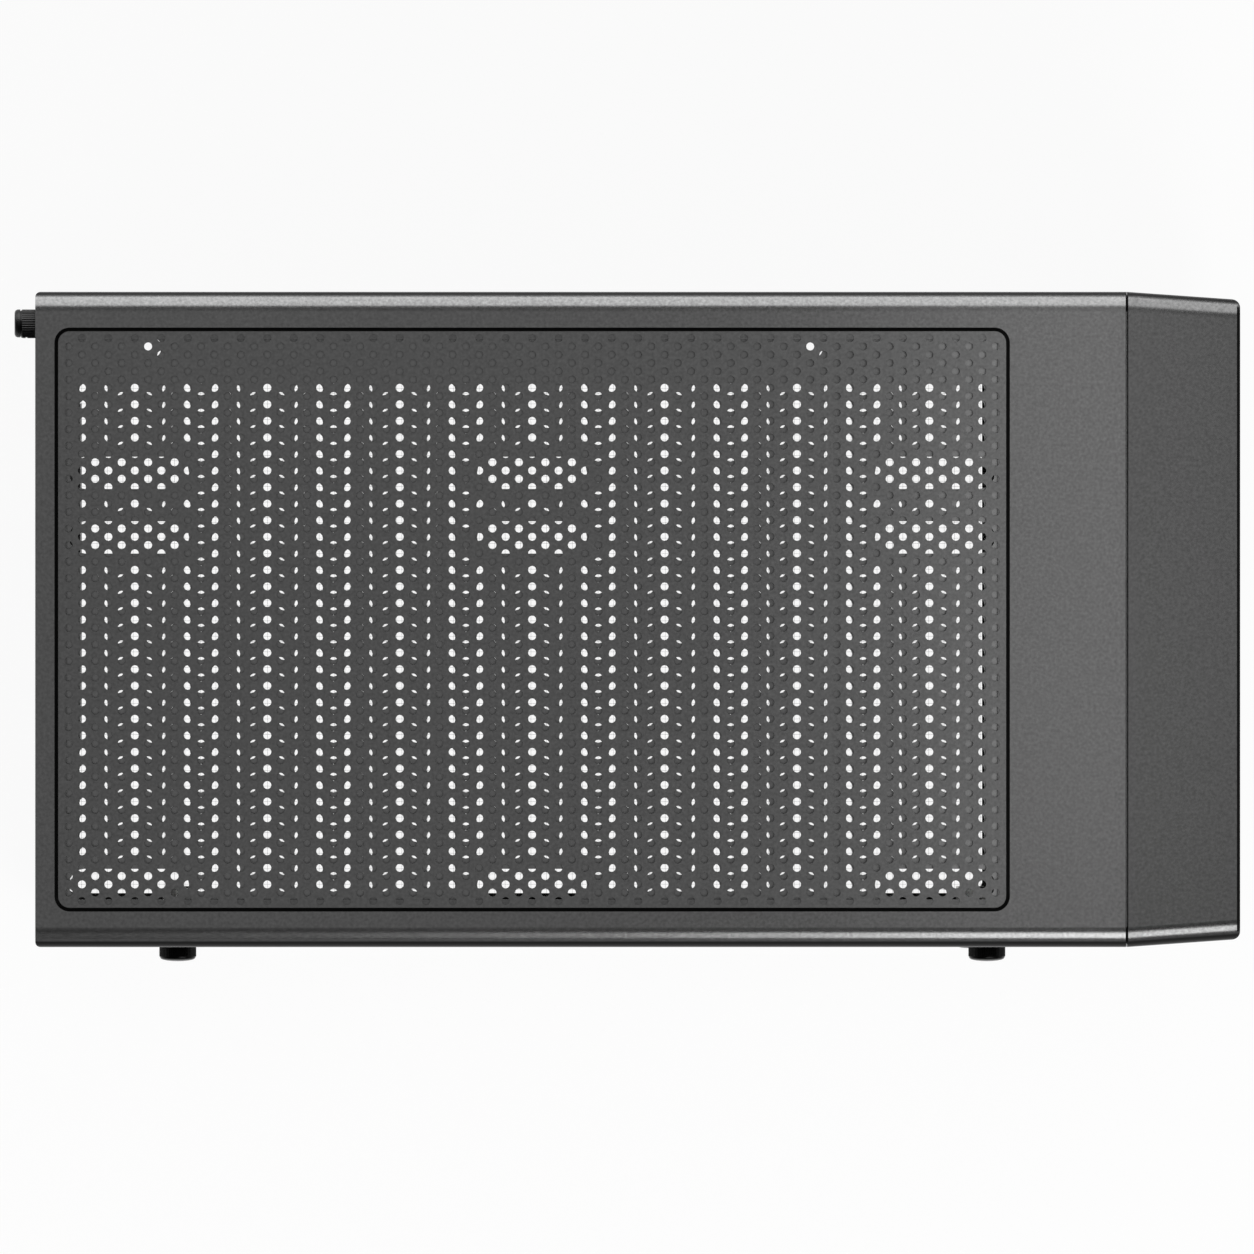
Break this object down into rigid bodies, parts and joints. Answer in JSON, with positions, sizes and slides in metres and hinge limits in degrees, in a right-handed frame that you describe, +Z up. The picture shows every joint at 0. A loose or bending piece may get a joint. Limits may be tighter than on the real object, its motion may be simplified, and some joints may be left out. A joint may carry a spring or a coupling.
{
  "type": "mid tower computer case",
  "caption": "Mid tower computer case with a vented top under a lift-off perforated filter, glass and steel sides and a mesh front.",
  "frame": {"origin": "on the floor, under the middle of the whole outline with its thumb screws and nuts", "axes": "+X to the front bezel, +Y to the steel side panel, +Z up"},
  "size_m": [0.3704, 0.2026, 0.462],
  "materials": {
    "cover_finish": "satin dark grey metallic paint",
    "chassis_paint": "black powder coat",
    "panel_paint": "satin dark grey metallic paint",
    "filter_paint": "satin dark grey metallic paint",
    "black_metal": "black",
    "zinc": "bright zinc",
    "brass_posts": "turned brass",
    "glass_tint": "clear tempered glass",
    "black_rubber": "matte rubber",
    "foot_plastic": "moulded black",
    "nylon_mesh": "fine woven mesh",
    "port_plastic": "smooth black",
    "board_laminate": "green laminate",
    "lens_clear": "clear lens"
  },
  "bodies": {
    "chassis": {"top_cover": "cover_finish", "rear_panel": "chassis_paint", "chassis_bottom": "chassis_paint", "chassis_front": "chassis_paint", "side_frame": "chassis_paint", "motherboard_tray": "chassis_paint", "slot_frame": "chassis_paint", "slot_clamp": "chassis_paint", "drive_bracket_1": "chassis_paint", "drive_bracket_2": "chassis_paint", "psu_rails": "chassis_paint", "filter_guide_left": "chassis_paint", "filter_guide_right": "chassis_paint", "slot_cover_1": "chassis_paint", "slot_cover_2": "chassis_paint", "slot_cover_3": "chassis_paint", "slot_cover_4": "chassis_paint", "slot_cover_5": "chassis_paint", "slot_cover_6": "chassis_paint", "slot_cover_7": "chassis_paint", "chassis_top": "filter_paint", "slot_screws": "black_metal", "glass_studs": "zinc", "standoffs": "brass_posts", "foot_pad_1": "black_rubber", "foot_pad_2": "black_rubber", "foot_pad_3": "black_rubber", "foot_pad_4": "black_rubber", "glass_washers": "black_rubber", "grommet_1": "black_rubber", "grommet_2": "black_rubber", "grommet_3": "black_rubber", "foot_1": "foot_plastic", "foot_2": "foot_plastic", "foot_3": "foot_plastic", "foot_4": "foot_plastic"},
    "glass": {"glass_panel": "glass_tint", "glass_nuts": "black_metal"},
    "steel_side": {"side_panel": "panel_paint", "panel_screws": "black_metal"},
    "top_filter": {"top_filter": "filter_paint"},
    "bottom_filter": {"bottom_filter_frame": "foot_plastic", "bottom_filter_mesh": "nylon_mesh"},
    "front": {"front_bezel": "cover_finish", "front_mesh": "filter_paint", "io_board": "board_laminate", "usb_port_1": "zinc", "usb_port_2": "zinc", "audio_jack_1": "port_plastic", "audio_jack_2": "port_plastic", "light_lens": "lens_clear", "power_switch": "port_plastic", "reset_switch": "port_plastic"},
    "power_button": {"power_button": "port_plastic"},
    "reset_button": {"reset_button": "port_plastic"}
  },
  "joints": [
    {"name": "glass_off", "type": "slide", "parent": "chassis", "child": "glass", "axis": [0, -1, 0], "range_m": [0, 0.06]},
    {"name": "steel_side_back", "type": "slide", "parent": "chassis", "child": "steel_side", "axis": [-1, 0, 0], "range_m": [0, 0.1]},
    {"name": "top_filter_lift", "type": "slide", "parent": "chassis", "child": "top_filter", "axis": [0, 0, 1], "range_m": [0, 0.05]},
    {"name": "bottom_filter_out", "type": "slide", "parent": "chassis", "child": "bottom_filter", "axis": [-1, 0, 0], "range_m": [0, 0.28]},
    {"name": "front_off", "type": "slide", "parent": "chassis", "child": "front", "axis": [1, 0, 0], "range_m": [0, 0.06]},
    {"name": "power_press", "type": "slide", "parent": "front", "child": "power_button", "axis": [-1, 0, 0], "range_m": [0, 0.0012], "stiffness_N_per_m": 500},
    {"name": "reset_press", "type": "slide", "parent": "front", "child": "reset_button", "axis": [-1, 0, 0], "range_m": [0, 0.0012], "stiffness_N_per_m": 500}
  ]
}
